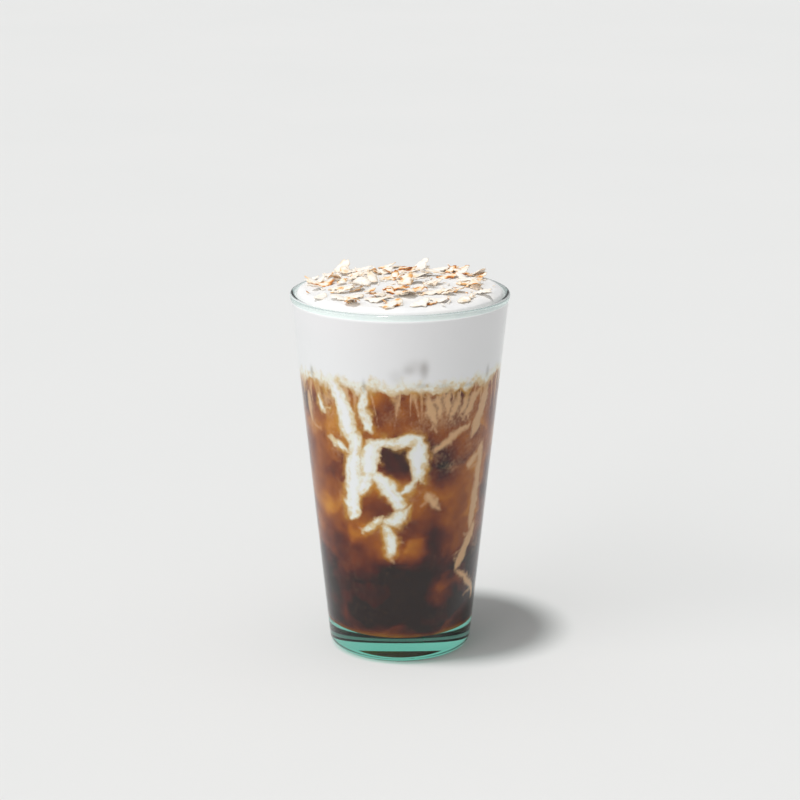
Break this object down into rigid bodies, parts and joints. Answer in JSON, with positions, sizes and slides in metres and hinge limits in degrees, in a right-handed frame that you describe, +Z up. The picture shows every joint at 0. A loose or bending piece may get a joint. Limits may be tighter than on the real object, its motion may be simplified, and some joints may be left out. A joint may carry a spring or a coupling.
{
  "type": "cold brew coffee",
  "caption": "Iced cold brew coffee in a straight-sided pint tumbler, topped with a thick domed layer of cream foam and scattered toasted coconut flakes.",
  "frame": {"origin": "centre of the surface that the glass stands on", "axes": "+Z up along the glass's axis; -Y is the front, where the cream streams show best"},
  "size_m": [0.0888, 0.0888, 0.1575],
  "materials": {
    "clear_glass": "clear, polished, faintly green in its heavy base",
    "coffee": "dark amber cold brew coffee with ice and cream streams, glossy",
    "cream": "smooth white cream foam, soft sheen",
    "coconut": "cream-white coconut with toasted golden-brown edges, dull"
  },
  "bodies": {
    "root": {"coconut_flake_01": "coconut", "coconut_flake_02": "coconut", "coconut_flake_03": "coconut", "coconut_flake_04": "coconut", "coconut_flake_05": "coconut", "coconut_flake_06": "coconut", "coconut_flake_07": "coconut", "coconut_flake_08": "coconut", "coconut_flake_09": "coconut", "coconut_flake_10": "coconut", "coconut_flake_11": "coconut", "coconut_flake_12": "coconut", "coconut_flake_13": "coconut", "coconut_flake_14": "coconut", "coconut_flake_15": "coconut", "coconut_flake_16": "coconut", "coconut_flake_17": "coconut", "coconut_flake_18": "coconut", "coconut_flake_19": "coconut", "coconut_flake_20": "coconut", "coconut_flake_21": "coconut", "coconut_flake_22": "coconut", "coconut_flake_23": "coconut", "coconut_flake_24": "coconut", "coconut_flake_25": "coconut", "coconut_flake_26": "coconut", "coconut_flake_27": "coconut", "coconut_flake_28": "coconut", "coconut_flake_29": "coconut", "coconut_flake_30": "coconut", "coconut_flake_31": "coconut", "coconut_flake_32": "coconut", "cold_brew": "coffee", "cream_foam": "cream", "glass": "clear_glass"}
  },
  "joints": []
}
